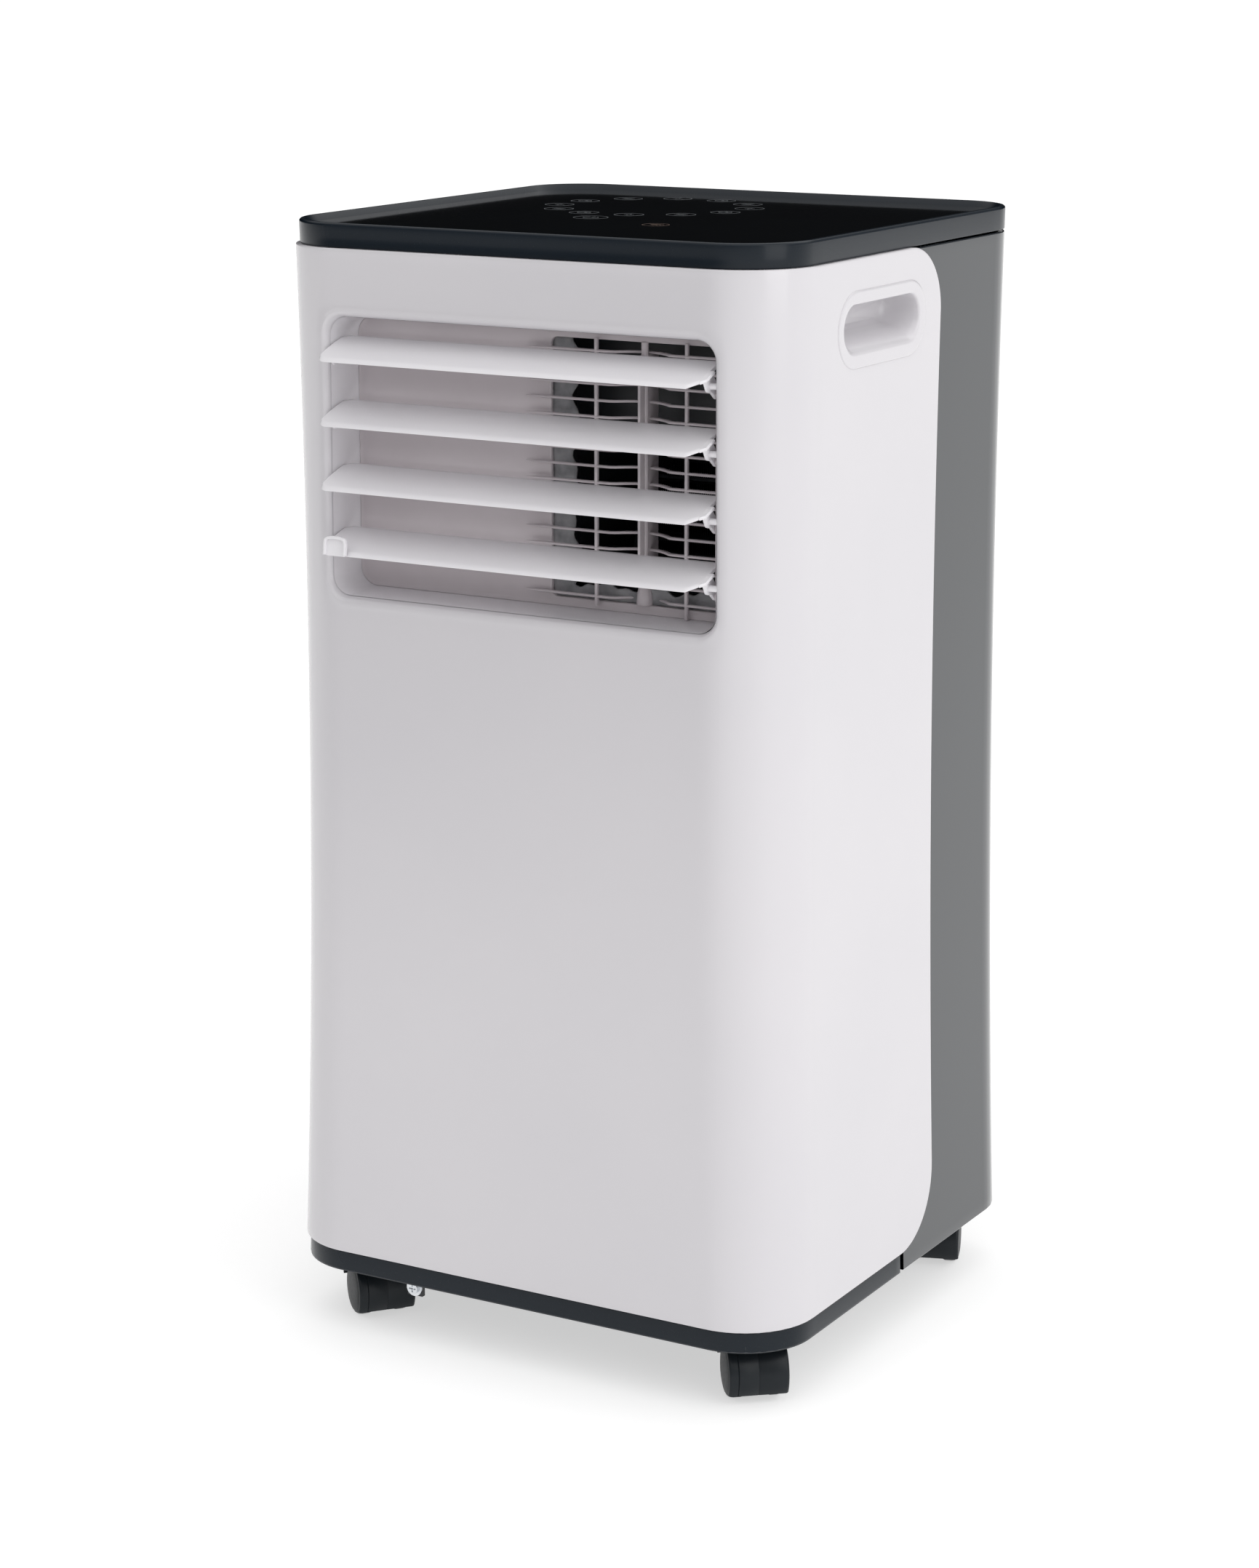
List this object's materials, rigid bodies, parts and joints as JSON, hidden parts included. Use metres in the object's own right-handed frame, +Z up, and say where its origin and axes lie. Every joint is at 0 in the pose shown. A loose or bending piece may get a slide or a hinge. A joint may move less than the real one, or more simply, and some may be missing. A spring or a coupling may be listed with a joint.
{
  "type": "portable air conditioner",
  "caption": "Floor-standing portable air conditioner on casters: waisted white front panel, tilting outlet blades, slate lid and housing, rear exhaust port and pull-out filters.",
  "frame": {"origin": "on the floor, under the middle of the cabinet", "axes": "+Z up, the front panel and the outlet blades face -Y, the right side is +X"},
  "size_m": [0.359, 0.3605, 0.703],
  "materials": {
    "white": "gloss moulded ABS",
    "white_inner": "satin moulded ABS",
    "slate": "semi-gloss slate ABS",
    "black_glass": "gloss black printed glass",
    "black_plastic": "satin black nylon",
    "grey_plastic": "matte grey ABS",
    "foam": "grey expanded foam",
    "copper": "drawn copper",
    "fins": "bare aluminium fins",
    "steel": "zinc plated",
    "enamel": "black enamel",
    "board": "green solder mask",
    "rubber": "black rubber",
    "tyre": "black nylon tread"
  },
  "bodies": {
    "cabinet": {"front_panel": "white", "rear_housing": "slate", "top_lid": "slate", "touch_panel": "black_glass", "display_board": "board", "base_pan": "slate", "caster_sockets": "black_plastic", "handle_cup_right": "white", "handle_cup_left": "white", "outlet_duct": "white_inner", "outlet_grille": "white_inner", "duct_foam": "foam", "evaporator_fins": "fins", "evaporator_tubes": "copper", "condenser_fins": "fins", "condenser_tubes": "copper", "upper_blower_housing": "grey_plastic", "upper_fan_motor": "steel", "lower_blower_housing": "grey_plastic", "lower_fan_motor": "steel", "middle_tray": "grey_plastic", "compressor": "enamel", "compressor_feet": "rubber", "compressor_accumulator": "enamel", "refrigerant_pipes": "copper", "capillary_tube": "copper", "splash_motor": "steel", "float_switch_body": "grey_plastic", "control_box": "grey_plastic", "main_board": "board", "run_capacitor": "steel", "exhaust_collar": "slate", "cord_gland": "black_plastic", "housing_screws": "steel", "base_screw": "steel", "base_bracket": "steel"},
    "louver_blade_1": {"louver_blade_1": "white"},
    "louver_blade_2": {"louver_blade_2": "white"},
    "louver_blade_3": {"louver_blade_3": "white"},
    "louver_blade_4": {"louver_blade_4": "white", "louver_tab": "white"},
    "louver_link": {"louver_link": "white_inner"},
    "vertical_vane": {"vertical_vane": "white_inner"},
    "upper_blower_wheel": {"upper_blower_wheel": "black_plastic"},
    "lower_blower_wheel": {"lower_blower_wheel": "black_plastic"},
    "splash_wheel": {"splash_wheel": "grey_plastic"},
    "upper_filter": {"upper_filter": "slate"},
    "lower_filter": {"lower_filter": "slate"},
    "drain_plug_lower": {"drain_plug_lower": "rubber"},
    "drain_cap_upper": {"drain_cap_upper": "rubber"},
    "float": {"float": "black_plastic"},
    "caster_fr": {"caster_hood_fr": "black_plastic"},
    "caster_roller_fr": {"caster_wheels_fr": "tyre"},
    "caster_fl": {"caster_hood_fl": "black_plastic"},
    "caster_roller_fl": {"caster_wheels_fl": "tyre"},
    "caster_rr": {"caster_hood_rr": "black_plastic"},
    "caster_roller_rr": {"caster_wheels_rr": "tyre"},
    "caster_rl": {"caster_hood_rl": "black_plastic"},
    "caster_roller_rl": {"caster_wheels_rl": "tyre"}
  },
  "joints": [
    {"name": "louver_tilt_1", "type": "hinge", "parent": "cabinet", "child": "louver_blade_1", "pos_m": [0, -0.1651, 0.6205], "axis": [1, 0, 0], "range_deg": [-15, 70]},
    {"name": "louver_tilt_2", "type": "hinge", "parent": "cabinet", "child": "louver_blade_2", "pos_m": [0, -0.1651, 0.5813], "axis": [1, 0, 0], "range_deg": [-15, 70]},
    {"name": "louver_tilt_3", "type": "hinge", "parent": "cabinet", "child": "louver_blade_3", "pos_m": [0, -0.1651, 0.5421], "axis": [1, 0, 0], "range_deg": [-15, 70]},
    {"name": "louver_tilt_4", "type": "hinge", "parent": "cabinet", "child": "louver_blade_4", "pos_m": [0, -0.1651, 0.5029], "axis": [1, 0, 0], "range_deg": [-15, 70]},
    {"name": "louver_link_pivot", "type": "hinge", "parent": "louver_blade_1", "child": "louver_link", "pos_m": [0.1298, -0.15644, 0.6155], "axis": [1, 0, 0], "range_deg": [-70, 15]},
    {"name": "vane_swing", "type": "hinge", "parent": "cabinet", "child": "vertical_vane", "pos_m": [0.0695, -0.137, 0.56], "axis": [0, 0, 1], "range_deg": [-35, 35]},
    {"name": "upper_blower_spin", "type": "hinge", "parent": "cabinet", "child": "upper_blower_wheel", "pos_m": [0.066, 0.02, 0.492], "axis": [1, 0, 0], "continuous": true},
    {"name": "lower_blower_spin", "type": "hinge", "parent": "cabinet", "child": "lower_blower_wheel", "pos_m": [0.064, 0.045, 0.216], "axis": [1, 0, 0], "continuous": true},
    {"name": "splash_wheel_spin", "type": "hinge", "parent": "cabinet", "child": "splash_wheel", "pos_m": [-0.07, 0.09, 0.108], "axis": [0, 1, 0], "continuous": true},
    {"name": "upper_filter_slide", "type": "slide", "parent": "cabinet", "child": "upper_filter", "axis": [0, 1, 0], "range_m": [0, 0.06]},
    {"name": "lower_filter_slide", "type": "slide", "parent": "cabinet", "child": "lower_filter", "axis": [0, 1, 0], "range_m": [0, 0.06]},
    {"name": "drain_plug_pull", "type": "slide", "parent": "cabinet", "child": "drain_plug_lower", "axis": [0, 1, 0], "range_m": [0, 0.03]},
    {"name": "drain_cap_pull", "type": "slide", "parent": "cabinet", "child": "drain_cap_upper", "axis": [0, 1, 0], "range_m": [0, 0.03]},
    {"name": "float_rise", "type": "slide", "parent": "cabinet", "child": "float", "axis": [0, 0, 1], "range_m": [0, 0.02]},
    {"name": "caster_swivel_fr", "type": "hinge", "parent": "cabinet", "child": "caster_fr", "pos_m": [0.137, -0.1254, 0.039], "axis": [0, 0, 1], "continuous": true},
    {"name": "caster_roll_fr", "type": "hinge", "parent": "caster_fr", "child": "caster_roller_fr", "pos_m": [0.14278, -0.13229, 0.017], "axis": [0.766, 0.6428, 0], "continuous": true},
    {"name": "caster_swivel_fl", "type": "hinge", "parent": "cabinet", "child": "caster_fl", "pos_m": [-0.137, -0.1254, 0.039], "axis": [0, 0, 1], "continuous": true},
    {"name": "caster_roll_fl", "type": "hinge", "parent": "caster_fl", "child": "caster_roller_fl", "pos_m": [-0.13011, -0.13118, 0.017], "axis": [0.6428, 0.766, 0], "continuous": true},
    {"name": "caster_swivel_rr", "type": "hinge", "parent": "cabinet", "child": "caster_rr", "pos_m": [0.137, 0.138, 0.039], "axis": [0, 0, 1], "continuous": true},
    {"name": "caster_roll_rr", "type": "hinge", "parent": "caster_rr", "child": "caster_roller_rr", "pos_m": [0.14008, 0.12954, 0.017], "axis": [0.9397, 0.342, 0], "continuous": true},
    {"name": "caster_swivel_rl", "type": "hinge", "parent": "cabinet", "child": "caster_rl", "pos_m": [-0.137, 0.138, 0.039], "axis": [0, 0, 1], "continuous": true},
    {"name": "caster_roll_rl", "type": "hinge", "parent": "caster_rl", "child": "caster_roller_rl", "pos_m": [-0.1325, 0.13021, 0.017], "axis": [0.866, 0.5, 0], "continuous": true}
  ],
  "couplings": [
    {"joint": "louver_tilt_2", "follows": "louver_tilt_1", "ratio": 1},
    {"joint": "louver_tilt_3", "follows": "louver_tilt_1", "ratio": 1},
    {"joint": "louver_tilt_4", "follows": "louver_tilt_1", "ratio": 1},
    {"joint": "louver_link_pivot", "follows": "louver_tilt_1", "ratio": -1}
  ]
}
